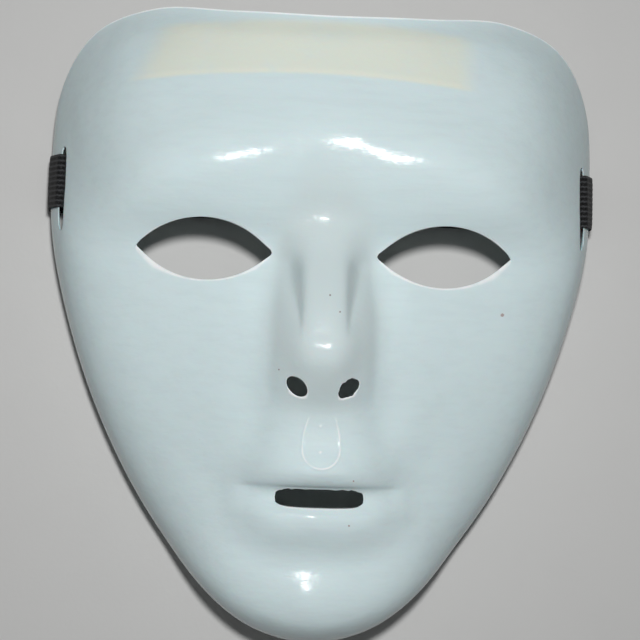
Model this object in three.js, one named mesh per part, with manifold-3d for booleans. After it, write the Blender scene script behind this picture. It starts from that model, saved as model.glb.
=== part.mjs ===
// A full face mask of thin white plastic, lying face up on the cut edge of its rim.
// Millimetres. +X to the right of the face as it is looked at, +Y to the forehead, +Z out of the face.
// The origin is under the middle of the mask, on the surface that it lies on.
import * as THREE from "three";
import { mergeVertices } from "three/addons/utils/BufferGeometryUtils.js";
import Module from "manifold-3d";

const wasm = await Module();
wasm.setup();

// Driving dimensions of the plastic shell
const WALL = 0.8; // the sheet after forming
const CHIN_Y = -97.5; // lowest point of the rim
const BROW_CUT_Y = 97.6; // middle of the top edge
const CHEEK_HEIGHT = 44.5; // plateau of the lower face above the rim's plane
const FOREHEAD_HEIGHT = 50.3;
const TOP_EDGE_HEIGHT = 44; // the top edge is cut well above the rim's plane
const RIM_LIFT_FROM = 9; // degrees above the +X axis where the rim leaves its plane

// Right half of the rim from the chin to the top edge, seen from the front
const RIM_POINTS = [
  [0, CHIN_Y],
  [16.8, -93.9],
  [32, -83.7],
  [52.9, -58.5],
  [72.2, -21.8],
  [85, 19.5],
  [87.7, 43.4],
  [85, 75.1],
  [73.9, 92.6],
  [55, 99.4],
  [29.8, 98.4],
  [0, BROW_CUT_Y],
];

// Openings, as seen from the front
const EYE = { x: 36.9, y: 25.1, halfLength: 20.4, above: 9.3, below: 9.6, slant: 1.7 };
const NOSTRIL = { middle: 0.3, x: 7.8, y: -15.8, long: 3.75, short: 2.35, lean: 42 };
const MOUTH = { x: 0.8, y: -49.5, halfLength: 13.5, halfHeight: 2.8 };
const STRAP_SLOT = { x: 82.3, y: 43.2, width: 1.8, length: 27 };

// Foam strip stuck inside the forehead
const FOAM = { x: -7.3, y: 86, length: 100, width: 17, thickness: 2.6 };
const GAP = 0.35; // between pieces that touch
const FOAM_GAP = 0.55; // the strip's adhesive

// Elastic: flat band, looped through a slot at each side and lying loose under the mask
const BAND_WIDTH = 17;
const BAND_THICKNESS = 0.8;
const BAND_PLAY = 0.2; // how much further it stands off the edges that it turns over
const STRAP_Y = 45.6;
const SLACK_SPAN = 130; // the part that lies in waves
const SLACK_RISE = { left: 3.4, right: 2.2 };

// The shell's mesh: lines across and up, closer together where the face is carved finely
const COLUMNS = 40;
const ROWS = 44;

const { clamp, degToRad, lerp } = THREE.MathUtils;

// 0 at one value and 1 at the other, level at both ends
function ease(from, to, v) {
  const t = clamp((v - from) / (to - from), 0, 1);
  return t * t * t * (t * (6 * t - 15) + 10);
}

// 0 before one value and 1 after the other, straight between them, with both ends rounded
function ramp(from, to, v, round) {
  const before = Math.hypot(v - from, round);
  const after = Math.hypot(v - to, round);
  return 0.5 + (before - after) / (2 * Math.abs(to - from));
}

// A soft round swelling of height 1
function mound(x, y, cx, cy, rx, ry) {
  return Math.exp(-(((x - cx) / rx) ** 2) - ((y - cy) / ry) ** 2);
}

function bothSides(x, y, cx, cy, rx, ry) {
  return mound(x, y, cx, cy, rx, ry) + mound(x, y, -cx, cy, rx, ry);
}

// The rim seen from the front, as a smooth closed curve
const mirrored = RIM_POINTS.slice(1, -1)
  .reverse()
  .map(([x, y]) => [-x, y]);
const rimCurve = new THREE.CatmullRomCurve3(
  [...RIM_POINTS, ...mirrored].map(([x, y]) => new THREE.Vector3(x, y, 0)),
  true,
  "centripetal",
);
const RIM_SAMPLES = 720;
const rimByAngle = rimCurve
  .getPoints(RIM_SAMPLES)
  .slice(1)
  .map((p) => ({ angle: Math.atan2(p.y, p.x), radius: Math.hypot(p.x, p.y) }))
  .sort((a, b) => a.angle - b.angle);

// Distance from the middle to the rim in one direction
function rimRadius(angle) {
  const count = rimByAngle.length;
  let low = 0;
  let high = count;
  while (low < high) {
    const middle = (low + high) >> 1;
    if (rimByAngle[middle].angle < angle) low = middle + 1;
    else high = middle;
  }
  const next = rimByAngle[high % count];
  const last = rimByAngle[(high + count - 1) % count];
  const turn = 2 * Math.PI;
  const span = (next.angle - last.angle + turn) % turn;
  const part = span > 0 ? ((angle - last.angle + turn) % turn) / span : 0;
  return lerp(last.radius, next.radius, part);
}

// Height of the rim's edge: level round chin and cheeks, swept up from the temples to the top
function rimHeight(angle) {
  const up = Math.atan2(Math.sin(angle), Math.abs(Math.cos(angle)));
  return TOP_EDGE_HEIGHT * ease(degToRad(RIM_LIFT_FROM), Math.PI / 2, up);
}

// Section of the dome from the middle (0) to the rim (1): a rounded wall with a flatter top
function domeSection(rho, flatness, wall, cut) {
  const edge = (1 - cut ** flatness) ** (1 / wall);
  const here = Math.max(1 - (cut * Math.min(rho, 1)) ** flatness, 0) ** (1 / wall);
  return (here - edge) / (1 - edge);
}

// Bridge, side planes, round tip and underside of the nose, with a hollow beside the bridge
function noseHeight(x, y) {
  const out = Math.hypot(x, 1) - 1;
  const bridge = 0.325 * (Math.hypot(Math.max(41.8 - y, 0), 3.8) - 3.8);
  const underside = 1 - ramp(6.8, -22.2, y, 2.4);
  const halfWidth = lerp(10.8, 16.3, ease(35.9, -0.3, y));
  const tip = ease(7.1, -4.9, y);
  const side = 1 - ramp(lerp(4, 6.7, tip), halfWidth, out, lerp(2.7, 3.3, tip));
  const hollow = 0.28 * ease(-1.1, 21.5, y) * (1 - ease(19, 28, y));
  const steep = 1 - ease(4.4, lerp(8.8, 11.2, ease(0, 24, y)), out);
  const ball = 1.5 * mound(x, y, 0, -7.6, 10.2, 6.1) + 0.3 * mound(x, y, 0, -14.5, 4.9, 6);
  const nostrilSides = 0.4 * bothSides(x, y, 8.7, -10.7, 3.7, 5.9);
  return bridge * underside * lerp(side, steep, hollow) + ball - nostrilSides;
}

// Upper lip with its sharp lower edge, the lower lip's bowl, the groove under it and the chin
function mouthHeight(x, y) {
  const fromMouth = Math.abs(x - MOUTH.x);
  const crease = MOUTH.y + 3.2;
  const upper = 5.5 * mound(x, y, 0, -41.9, 17.9, 7.2);
  const lipEdge = 1.2 * ease(crease - 1.9, crease + 1.5, y) * ease(-14.8, -43, y) * ease(28, 12, fromMouth);
  const bowl = ((fromMouth / 27.4) ** 2.6 + Math.abs((y + 43) / 25.5) ** 2.6) ** (1 / 2.6);
  const lower = 3.3 * ease(1.23, 0.56, bowl) * ease(crease - 1, crease - 10, y);
  const lip = 1.2 * mound(x, y, 0, -57.7, 13.8, 4.7);
  const groove = 0.6 * mound(x, y, 0, -67.1, 25.5, 6.3);
  const chin = 3.1 * mound(x, y, 0, -83.7, 16.2, 12.7);
  const corners = 2 * bothSides(x, y, 29, -46.6, 9.8, 16);
  return upper + lipEdge + lower + lip - groove + chin - corners;
}

// Everything that stands out of the plain dome or lies below it
function carvedHeight(x, y) {
  const browLine =
    57.9 - 3.9 * (x / 30) ** 2 + 2.4 * mound(x, y, 0, y, 8, 1) - bothSides(x, y, 20, y, 8, 1);
  const browAcross = (Math.hypot(x, 12) - 34.4) / 38.4;
  const brow = 5 * Math.exp(-(((y - browLine) / 15.3) ** 2) - browAcross ** 2);
  const topEdge = 1.4 * mound(x, y, 0, 95.1, 74.9, 12.2);
  const sockets = 3.9 * bothSides(x, y, 33.3, 26.7, 27.6, 8.4);
  const noseRoot = 1.9 * mound(x, y, 0, 35.4, 10.3, 5.4);
  const betweenBrows = 0.4 * mound(x, y, 0, 56, 13, 12);
  const noseSides = 3 * bothSides(x, y, 16.5, 21.3, 6.6, 11.1);
  const cheeks = 6.1 * bothSides(x, y, 14.6, -11.2, 25.2, 32.2);
  const besideNose = 2.4 * bothSides(x, y, 19, -24.4, 7.5, 13.8);
  const raised = brow + topEdge + cheeks + noseHeight(x, y) + mouthHeight(x, y);
  return raised - sockets - noseRoot - betweenBrows - noseSides - besideNose;
}

// Height of the outer surface at a point seen from the front
function faceHeight(x, y) {
  const angle = Math.atan2(y, x);
  const rho = Math.hypot(x, y) / rimRadius(angle);
  const jaw = domeSection(rho, 2.2, 8, 0.9998);
  const brow = domeSection(rho, 6.6, 0.433, 0.891);
  const chin = domeSection(rho, 14.4, 9.5, 0.9999);
  const upward = Math.sin(angle);
  const section = lerp(lerp(jaw, brow, ease(0.175, 0.82, upward)), chin, ease(-0.77, -1, upward));
  const middle = lerp(CHEEK_HEIGHT, FOREHEAD_HEIGHT, ease(2, 62.5, y));
  const edge = rimHeight(angle);
  return edge + (middle - edge) * section + carvedHeight(x, y) * ease(1, 0.9, rho);
}

// Direction out of the sheet, from the slopes a little way inside the point
function faceNormal(x, y) {
  const reach = 0.35;
  const inside = 0.985;
  const rho = Math.hypot(x, y) / rimRadius(Math.atan2(y, x));
  const pull = rho > inside ? inside / rho : 1;
  const [px, py] = [x * pull, y * pull];
  const slopeX = (faceHeight(px + reach, py) - faceHeight(px - reach, py)) / (2 * reach);
  const slopeY = (faceHeight(px, py + reach) - faceHeight(px, py - reach)) / (2 * reach);
  return new THREE.Vector3(-slopeX, -slopeY, 1).normalize();
}

// The cut edge stays square to the wall, and level where the mask lies on it
function rimNormal(x, y) {
  const normal = faceNormal(x, y);
  const lifted = ease(0, 6, rimHeight(Math.atan2(y, x)));
  return normal.setZ(normal.z * lifted).normalize();
}

// Places from -1 to 1 for a number of steps, closer together where the density is higher
function spread(steps, density) {
  const fine = 2000;
  const sums = [0];
  for (let i = 0; i < fine; i++) sums.push(sums[i] + density((2 * (i + 0.5)) / fine - 1));
  const places = [];
  let i = 0;
  for (let step = 0; step <= steps; step++) {
    const target = (sums[fine] * step) / steps;
    while (i < fine - 1 && sums[i + 1] < target) i++;
    const part = (target - sums[i]) / (sums[i + 1] - sums[i]);
    places.push((2 * (i + part)) / fine - 1);
  }
  return places;
}

// A square grid drawn out to the rim: two corners of the square fall at the jaw, two at the temples
function shellPoint(u, v) {
  const x = u * Math.sqrt(1 - (v * v) / 2);
  const y = v * Math.sqrt(1 - (u * u) / 2);
  const angle = Math.atan2(y, x);
  const radius = rimRadius(angle) * Math.hypot(x, y);
  return [radius * Math.cos(angle), radius * Math.sin(angle)];
}

// The formed sheet before its openings are cut: outer skin, inner skin and the cut edge between them
function sheetGeometry() {
  const across = spread(COLUMNS, (u) => {
    const nose = 1.1 * Math.exp(-((u / 0.22) ** 2));
    return 1 + nose + 1.1 * ease(0.8, 1, Math.abs(u));
  });
  const up = spread(ROWS, (v) => {
    const nose = 0.7 * Math.exp(-(((v + 0.05) / 0.22) ** 2));
    const mouth = 1.1 * Math.exp(-(((v + 0.5) / 0.12) ** 2));
    return 1 + nose + mouth + 1.7 * ease(0.84, 1, Math.abs(v));
  });
  const grid = new THREE.PlaneGeometry(2, 2, COLUMNS, ROWS);
  const flat = grid.getAttribute("position");
  const outer = [];
  const inner = [];
  for (let i = 0; i < flat.count; i++) {
    const column = i % (COLUMNS + 1);
    const row = Math.floor(i / (COLUMNS + 1));
    const [u, v] = [across[column], up[ROWS - row]];
    const [x, y] = shellPoint(u, v);
    const onRim = column === 0 || column === COLUMNS || row === 0 || row === ROWS;
    const z = onRim ? rimHeight(Math.atan2(y, x)) : faceHeight(x, y);
    const normal = onRim ? rimNormal(x, y) : faceNormal(x, y);
    outer.push(x, y, z);
    inner.push(x - WALL * normal.x, y - WALL * normal.y, z - WALL * normal.z);
  }
  const faces = [...grid.index.array];
  const count = flat.count;
  const back = [];
  for (let i = 0; i < faces.length; i += 3) {
    back.push(faces[i] + count, faces[i + 2] + count, faces[i + 1] + count);
  }
  const edge = [];
  for (let column = 0; column < COLUMNS; column++) edge.push(column);
  for (let row = 0; row < ROWS; row++) edge.push(row * (COLUMNS + 1) + COLUMNS);
  for (let column = COLUMNS; column > 0; column--) edge.push(ROWS * (COLUMNS + 1) + column);
  for (let row = ROWS; row > 0; row--) edge.push(row * (COLUMNS + 1));
  edge.forEach((here, i) => {
    const next = edge[(i + 1) % edge.length];
    back.push(here, next, next + count, here, next + count, here + count);
  });
  const geometry = new THREE.BufferGeometry();
  geometry.setAttribute("position", new THREE.Float32BufferAttribute([...outer, ...inner], 3));
  geometry.setIndex([...faces, ...back]);
  return geometry;
}

function toSolid(geometry) {
  const bare = geometry.clone();
  bare.deleteAttribute("normal");
  bare.deleteAttribute("uv");
  const merged = mergeVertices(bare, 1e-4);
  return new wasm.Manifold(
    new wasm.Mesh({
      numProp: 3,
      vertProperties: new Float32Array(merged.getAttribute("position").array),
      triVerts: new Uint32Array(merged.index.array),
    }),
  );
}

function fromSolid(solid) {
  const mesh = solid.getMesh();
  const geometry = new THREE.BufferGeometry();
  geometry.setAttribute("position", new THREE.BufferAttribute(mesh.vertProperties, mesh.numProp));
  geometry.setIndex(new THREE.BufferAttribute(mesh.triVerts, 1));
  return geometry;
}

// An almond between two circular arcs
function eyeShape() {
  const arc = (rise) => (EYE.halfLength ** 2 + rise ** 2) / (2 * rise);
  const [top, bottom] = [arc(EYE.above), arc(EYE.below)];
  const topHalf = Math.asin(EYE.halfLength / top);
  const bottomHalf = Math.asin(EYE.halfLength / bottom);
  const quarter = Math.PI / 2;
  const shape = new THREE.Shape();
  shape.absarc(0, EYE.above - top, top, quarter - topHalf, quarter + topHalf, false);
  shape.absarc(0, bottom - EYE.below, bottom, -quarter - bottomHalf, -quarter + bottomHalf, false);
  return shape;
}

function ovalShape(long, short, lean) {
  const shape = new THREE.Shape();
  shape.absellipse(0, 0, long, short, 0, 2 * Math.PI, false, degToRad(lean));
  return shape;
}

// A slot with quarter-round corners
function slotShape(halfLength, halfHeight, corner) {
  const [x, y] = [halfLength - corner, halfHeight - corner];
  const shape = new THREE.Shape();
  shape.absarc(x, y, corner, 0, Math.PI / 2, false);
  shape.absarc(-x, y, corner, Math.PI / 2, Math.PI, false);
  shape.absarc(-x, -y, corner, Math.PI, 1.5 * Math.PI, false);
  shape.absarc(x, -y, corner, 1.5 * Math.PI, 2 * Math.PI, false);
  return shape;
}

// A cutter that stands through the whole depth of the mask
function cutter(shape, x, y, curveSegments, turn = 0) {
  const depth = 120;
  const geometry = new THREE.ExtrudeGeometry(shape, { depth, bevelEnabled: false, curveSegments });
  return toSolid(geometry.rotateZ(degToRad(turn)).translate(x, y, -depth / 4));
}

function maskShell() {
  let solid = toSolid(sheetGeometry());
  for (const side of [1, -1]) {
    solid = solid.subtract(cutter(eyeShape(), side * EYE.x, EYE.y, 9, side * EYE.slant));
    const lean = side > 0 ? NOSTRIL.lean : 180 - NOSTRIL.lean;
    const nostril = ovalShape(NOSTRIL.long, NOSTRIL.short, lean);
    solid = solid.subtract(cutter(nostril, NOSTRIL.middle + side * NOSTRIL.x, NOSTRIL.y, 12));
    const slot = slotShape(STRAP_SLOT.width / 2, STRAP_SLOT.length / 2, 0.6);
    solid = solid.subtract(cutter(slot, side * STRAP_SLOT.x, STRAP_SLOT.y, 2));
  }
  const mouth = slotShape(MOUTH.halfLength, MOUTH.halfHeight, 0.8 * MOUTH.halfHeight);
  return fromSolid(solid.subtract(cutter(mouth, MOUTH.x, MOUTH.y, 4)));
}

// The strip follows the inside of the forehead
function foreheadFoam() {
  const geometry = new THREE.BoxGeometry(FOAM.length, FOAM.width, FOAM.thickness, 16, 3, 1);
  const place = geometry.getAttribute("position");
  for (let i = 0; i < place.count; i++) {
    const [x, y] = [place.getX(i) + FOAM.x, place.getY(i) + FOAM.y];
    const under = place.getZ(i) < 0;
    const depth = WALL + FOAM_GAP + (under ? FOAM.thickness : 0);
    const normal = faceNormal(x, y);
    place.setXYZ(i, x - depth * normal.x, y - depth * normal.y, faceHeight(x, y) - depth * normal.z);
  }
  return fromSolid(toSolid(geometry));
}

// Height of the loose elastic's middle above the surface that the mask lies on: a low wave each side
function slackHeight(x, rise) {
  const lowest = GAP + BAND_THICKNESS / 2;
  const wave = 1 - Math.cos((4 * Math.PI * x) / SLACK_SPAN);
  return lowest + (rise / 2) * wave * ease(SLACK_SPAN / 2, SLACK_SPAN / 3, x);
}

// Places on an arc round one edge of the plastic, in the section across the mask
function aroundEdge(x, z, radius, fromDegrees, toDegrees, steps) {
  const places = [];
  for (let i = 0; i <= steps; i++) {
    const angle = degToRad(lerp(fromDegrees, toDegrees, i / steps));
    places.push([x + radius * Math.cos(angle), z + radius * Math.sin(angle)]);
  }
  return places;
}

// Middle line of one half of the elastic in the section at one height of the face: from its
// sewn end, up through the slot, down outside the wall, round the rim and along to the middle
function bandSection(y, rise) {
  const clear = GAP + BAND_THICKNESS / 2;
  const angle = Math.atan2(y, RIM_POINTS[6][0]);
  const rimX = rimRadius(angle) * Math.cos(angle);
  const rimZ = rimHeight(angle);
  const underRim = rimZ - WALL * rimNormal(rimX, y).z - clear - BAND_PLAY;
  const slotX = STRAP_SLOT.x + STRAP_SLOT.width / 2;
  const slotZ = faceHeight(slotX, y);
  const inSlot = slotX - clear - BAND_PLAY;
  const runHeight = (x) => lerp(underRim, slackHeight(x, rise), ease(88, 66, x));
  const places = [];
  for (const x of [66, 69, 72, 75, 78]) places.push([x, runHeight(x) + BAND_THICKNESS + GAP]);
  const [bendX, bendZ] = places.at(-1);
  const climb = slotZ - 3 - bendZ;
  places.push([lerp(bendX, inSlot, 0.55), bendZ + 0.2 * climb]);
  places.push([lerp(bendX, inSlot, 0.87), bendZ + 0.52 * climb]);
  places.push([inSlot, bendZ + climb]);
  places.push(...aroundEdge(slotX, slotZ, clear + BAND_PLAY, 180, 45, 4));
  for (let i = 1; i <= 3; i++) {
    const x = lerp(slotX, rimX, i / 4);
    const normal = faceNormal(x, y);
    places.push([x + clear * normal.x, faceHeight(x, y) + clear * normal.z]);
  }
  places.push(...aroundEdge(rimX - WALL / 4, rimZ, clear + WALL / 4, 10, -90, 4));
  for (const x of [rimX - 1.6, 84, 79, 74, 69, 64]) places.push([x, runHeight(x)]);
  const steps = 14;
  for (let i = 1; i <= steps; i++) {
    const x = 60 * (1 - i / steps);
    places.push([x, slackHeight(x, rise)]);
  }
  return places;
}

// The band swept along its sections, both halves in one piece
function elasticStrap() {
  const across = [-0.5, 0, 0.5].map((part) => STRAP_Y + part * BAND_WIDTH);
  const lines = across.map((y) => {
    const right = bandSection(y, SLACK_RISE.right);
    const left = bandSection(y, SLACK_RISE.left).slice(0, -1).reverse();
    return [...right, ...left.map(([x, z]) => [-x, z])];
  });
  const steps = lines[0].length - 1;
  const geometry = new THREE.BoxGeometry(steps, 2, 1, steps, 2, 1);
  const place = geometry.getAttribute("position");
  for (let i = 0; i < place.count; i++) {
    const station = Math.round(place.getX(i) + steps / 2);
    const line = lines[Math.round(place.getY(i) + 1)];
    const [x, z] = line[station];
    const [x0, z0] = line[Math.max(station - 1, 0)];
    const [x1, z1] = line[Math.min(station + 1, steps)];
    const length = Math.hypot(x1 - x0, z1 - z0);
    const out = place.getZ(i) * BAND_THICKNESS;
    const y = across[Math.round(place.getY(i) + 1)];
    place.setXYZ(i, x - (out * (z1 - z0)) / length, y, z + (out * (x1 - x0)) / length);
  }
  return fromSolid(toSolid(geometry));
}

const root = new THREE.Group();

function addPiece(name, geometry, color, roughness) {
  geometry.computeVertexNormals();
  const material = new THREE.MeshStandardMaterial({ color, roughness, metalness: 0, flatShading: true });
  const mesh = new THREE.Mesh(geometry, material);
  mesh.name = name;
  root.add(mesh);
}

addPiece("mask_shell", maskShell(), 0xd3dfe1, 0.25);
addPiece("forehead_foam", foreheadFoam(), 0xe3e2c9, 0.9);
addPiece("elastic_strap", elasticStrap(), 0x1b1b1d, 0.85);

export default root;
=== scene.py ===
import math

import bmesh
import bpy
import numpy as np
from mathutils import Matrix, Vector


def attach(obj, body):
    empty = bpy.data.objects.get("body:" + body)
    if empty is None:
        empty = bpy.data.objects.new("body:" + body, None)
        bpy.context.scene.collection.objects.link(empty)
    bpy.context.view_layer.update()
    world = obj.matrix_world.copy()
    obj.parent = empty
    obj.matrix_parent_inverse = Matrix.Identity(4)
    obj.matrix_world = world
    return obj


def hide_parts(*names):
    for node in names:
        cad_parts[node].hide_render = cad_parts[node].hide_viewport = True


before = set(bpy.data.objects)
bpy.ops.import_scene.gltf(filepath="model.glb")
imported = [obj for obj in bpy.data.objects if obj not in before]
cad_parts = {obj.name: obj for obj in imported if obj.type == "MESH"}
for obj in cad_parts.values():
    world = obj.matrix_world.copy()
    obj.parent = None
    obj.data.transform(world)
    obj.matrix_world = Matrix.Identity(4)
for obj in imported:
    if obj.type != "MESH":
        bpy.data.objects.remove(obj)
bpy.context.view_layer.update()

# The view.
# The mask lies face up and is looked at from straight above, a little left of its middle and a
# little turned. Colours are shown as a plain camera would show them.
eye_point = Vector((-0.0250, -0.0025, 0.55))
looked_at = Vector((0.00135, 0.0051, 0.0))
mask_turn = math.radians(2.11)
camera_data = bpy.data.cameras.new("camera")
camera_data.sensor_width = 36.0
camera_data.lens = 93.46
camera = bpy.data.objects.new("camera", camera_data)
bpy.context.scene.collection.objects.link(camera)
backward = (eye_point - looked_at).normalized()
upward = backward.cross(Vector((math.cos(mask_turn), math.sin(mask_turn), 0.0))).normalized()
sideways = upward.cross(backward)
camera_axes = Matrix((sideways, upward, backward)).transposed().to_4x4()
camera.matrix_world = Matrix.Translation(eye_point) @ camera_axes
bpy.context.scene.camera = camera
bpy.context.scene.view_settings.view_transform = "Standard"


# Mask shell.
# One sheet of white plastic, 0.8 mm thick, drawn hot over a mould into a blank face and trimmed.
# The eyes, nostrils, mouth and the two slots for the elastic are punched through it.

# Sizes are in millimetres: x to the right as it is looked at, y to the forehead, z out of the face
SHEET = 0.8
CHEEK_HEIGHT = 44.5
FOREHEAD_HEIGHT = 50.3
TOP_EDGE_HEIGHT = 44.0
RIM_LIFT_FROM = 9.0
RIM_POINTS = [(0, -97.5), (16.8, -93.9), (32, -83.7), (52.9, -58.5), (72.2, -21.8), (85, 19.5),
              (87.7, 43.4), (85, 75.1), (73.9, 92.6), (55, 99.4), (29.8, 98.4), (0, 97.6)]
EYE = {"x": 36.9, "y": 25.1, "half_length": 20.7, "above": 9.3, "below": 9.6, "slant": 1.7, "tip": 1.4}
NOSTRIL = {"middle": 0.3, "x": 7.8, "y": -15.8, "long": 3.75, "short": 2.35, "lean": 42.0}
MOUTH = {"x": 0.8, "y": -49.5, "half_length": 13.5, "half_height": 2.8}
STRAP_SLOT = {"x": 82.3, "y": 43.2, "half_width": 0.9, "half_length": 13.5}


def smooth_line(points, steps, closed=False):
    """A smooth curve through the points, with the same number of steps from each to the next."""
    points = np.asarray(points, float)
    if closed:
        ring = np.vstack([points[-1:], points, points[:2]])
    else:
        ring = np.vstack([2 * points[:1] - points[1:2], points, 2 * points[-1:] - points[-2:-1]])
    line = []
    for a, b, c, d in zip(ring, ring[1:], ring[2:], ring[3:]):
        t1 = math.sqrt(np.linalg.norm(b - a))
        t2 = t1 + math.sqrt(np.linalg.norm(c - b))
        t3 = t2 + math.sqrt(np.linalg.norm(d - c))
        for t in np.linspace(t1, t2, steps, endpoint=False):
            ab = a + (b - a) * t / t1
            bc = b + (c - b) * (t - t1) / (t2 - t1)
            cd = c + (d - c) * (t - t2) / (t3 - t2)
            left = ab + (bc - ab) * t / t2
            right = bc + (cd - bc) * (t - t1) / (t3 - t1)
            line.append(left + (right - left) * (t - t1) / (t2 - t1))
    if not closed:
        line.append(points[-1])
    return np.array(line)


rim_line = smooth_line(RIM_POINTS + [(-x, y) for x, y in RIM_POINTS[-2:0:-1]], 30, closed=True)
rim_angles = np.arctan2(rim_line[:, 1], rim_line[:, 0])
rim_order = np.argsort(rim_angles)
rim_angles = rim_angles[rim_order]
rim_radii = np.hypot(rim_line[:, 0], rim_line[:, 1])[rim_order]


def rim_radius(angle):
    """How far the outline lies from the middle of the face, at an angle from straight right."""
    return np.interp(angle, rim_angles, rim_radii, period=2 * math.pi)


def ease(start, end, v):
    """0 at the start and 1 at the end, level at both."""
    t = np.clip((v - start) / (end - start), 0, 1)
    return t * t * t * (t * (6 * t - 15) + 10)


def mix(a, b, t):
    """The value a part t of the way from a to b."""
    return a + (b - a) * t


def ramp(start, end, v, rounded):
    """0 to 1 in a straight slope with rounded ends."""
    return 0.5 + (np.hypot(v - start, rounded) - np.hypot(v - end, rounded)) / (2 * abs(end - start))


def mound(x, y, cx, cy, rx, ry):
    """A soft hill: 1 at its middle (cx, cy), and about a third of that at rx or ry away."""
    return np.exp(-((x - cx) / rx) ** 2 - ((y - cy) / ry) ** 2)


def both_sides(x, y, cx, cy, rx, ry):
    """The same hill on both halves of the face."""
    return mound(x, y, cx, cy, rx, ry) + mound(x, y, -cx, cy, rx, ry)


def rim_height(angle):
    """The rim lies on the table round the chin and the cheeks, and lifts toward the top edge."""
    up = np.arctan2(np.sin(angle), np.abs(np.cos(angle)))
    return TOP_EDGE_HEIGHT * ease(math.radians(RIM_LIFT_FROM), math.pi / 2, up)


def dome_section(rho, flatness, wall, cut):
    """Section of the dome from the middle (0) to the rim (1): a rounded wall, a flatter top."""
    edge = (1 - cut ** flatness) ** (1 / wall)
    here = np.maximum(1 - (cut * np.minimum(rho, 1)) ** flatness, 0) ** (1 / wall)
    return (here - edge) / (1 - edge)


def nose_height(x, y):
    """The nose: a straight bridge that ends in an underside, with sloping sides and a round tip."""
    out = np.hypot(x, 1) - 1
    bridge = 0.325 * (np.hypot(np.maximum(41.8 - y, 0), 3.8) - 3.8)
    underside = 1 - ramp(6.8, -22.2, y, 2.4)
    half_width = mix(10.8, 16.3, ease(35.9, -0.3, y))
    tip = ease(7.1, -4.9, y)
    side = 1 - ramp(mix(4, 6.7, tip), half_width, out, mix(2.7, 3.3, tip))
    hollow = 0.28 * ease(-1.1, 21.5, y) * (1 - ease(19, 28, y))
    steep = 1 - ease(4.4, mix(8.8, 11.2, ease(0, 24, y)), out)
    ball = 1.5 * mound(x, y, 0, -7.6, 10.2, 6.1) + 0.3 * mound(x, y, 0, -14.5, 4.9, 6)
    nostril_sides = 0.4 * both_sides(x, y, 8.7, -10.7, 3.7, 5.9)
    return bridge * underside * mix(side, steep, hollow) + ball - nostril_sides


def mouth_height(x, y):
    """The lips and the full shape round them, the groove under the lips and the chin."""
    from_mouth = np.abs(x - MOUTH["x"])
    crease = MOUTH["y"] + 3.2
    upper = 5.5 * mound(x, y, 0, -41.9, 17.9, 7.2)
    lip_edge = 1.2 * ease(crease - 1.9, crease + 1.5, y) * ease(-14.8, -43, y) * ease(28, 12, from_mouth)
    bowl = ((from_mouth / 27.4) ** 2.6 + (np.abs(y + 43) / 25.5) ** 2.6) ** (1 / 2.6)
    lower = 3.3 * ease(1.23, 0.56, bowl) * ease(crease - 1, crease - 10, y)
    lip = 1.2 * mound(x, y, 0, -57.7, 13.8, 4.7)
    groove = 0.6 * mound(x, y, 0, -67.1, 25.5, 6.3)
    chin = 3.1 * mound(x, y, 0, -83.7, 16.2, 12.7)
    corners = 2 * both_sides(x, y, 29, -46.6, 9.8, 16)
    return upper + lip_edge + lower + lip - groove + chin - corners


def carved_height(x, y):
    """Everything that stands out of the plain dome or lies below it."""
    brow_line = 57.9 - 3.9 * (x / 30) ** 2 + 2.4 * mound(x, y, 0, y, 8, 1) - both_sides(x, y, 20, y, 8, 1)
    brow_across = (np.hypot(x, 12) - 34.4) / 38.4
    brow = 5 * np.exp(-((y - brow_line) / 15.3) ** 2 - brow_across ** 2)
    top_edge = 1.4 * mound(x, y, 0, 95.1, 74.9, 12.2)
    sockets = 3.9 * both_sides(x, y, 33.3, 26.7, 27.6, 8.4)
    nose_root = 1.9 * mound(x, y, 0, 35.4, 10.3, 5.4)
    between_brows = 0.4 * mound(x, y, 0, 56, 13, 12)
    nose_sides = 3 * both_sides(x, y, 16.5, 21.3, 6.6, 11.1)
    cheeks = 6.1 * both_sides(x, y, 14.6, -11.2, 25.2, 32.2)
    beside_nose = 2.4 * both_sides(x, y, 19, -24.4, 7.5, 13.8)
    raised = brow + top_edge + cheeks + nose_height(x, y) + mouth_height(x, y)
    return raised - sockets - nose_root - between_brows - nose_sides - beside_nose


def face_height(x, y):
    """Height of the sheet's outer side: a dome that stands steep at the cheeks and at the chin and
    slopes away at the forehead, with the face carved on it."""
    angle = np.arctan2(y, x)
    rho = np.hypot(x, y) / rim_radius(angle)
    up = np.sin(angle)
    at_cheeks = dome_section(rho, 2.2, 8, 0.9998)
    at_forehead = dome_section(rho, 6.6, 0.433, 0.891)
    at_chin = dome_section(rho, 14.4, 9.5, 0.9999)
    section = mix(at_cheeks, at_forehead, ease(0.175, 0.82, up))
    section = mix(section, at_chin, ease(-0.77, -1, up))
    middle = mix(CHEEK_HEIGHT, FOREHEAD_HEIGHT, ease(2, 62.5, y))
    edge = rim_height(angle)
    return edge + (middle - edge) * section + carved_height(x, y) * ease(1, 0.9, rho)


def face_normal(x, y):
    """Out of the sheet, from the slopes a little way inside the point. At the rim it turns level
    where the mask lies on its edge, because that edge is cut flat."""
    near_rim = 0.985
    rho = np.hypot(x, y) / rim_radius(np.arctan2(y, x))
    pull = np.where(rho > near_rim, near_rim / np.maximum(rho, 0.5), 1)
    px, py = x * pull, y * pull
    reach = 0.35
    slope_x = (face_height(px + reach, py) - face_height(px - reach, py)) / (2 * reach)
    slope_y = (face_height(px, py + reach) - face_height(px, py - reach)) / (2 * reach)
    standing = mix(1, ease(0, 6, rim_height(np.arctan2(y, x))), ease(near_rim, 0.998, rho))
    normal = np.stack([-slope_x, -slope_y, standing * np.ones_like(slope_x)], axis=-1)
    return normal / np.linalg.norm(normal, axis=-1, keepdims=True)


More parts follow.
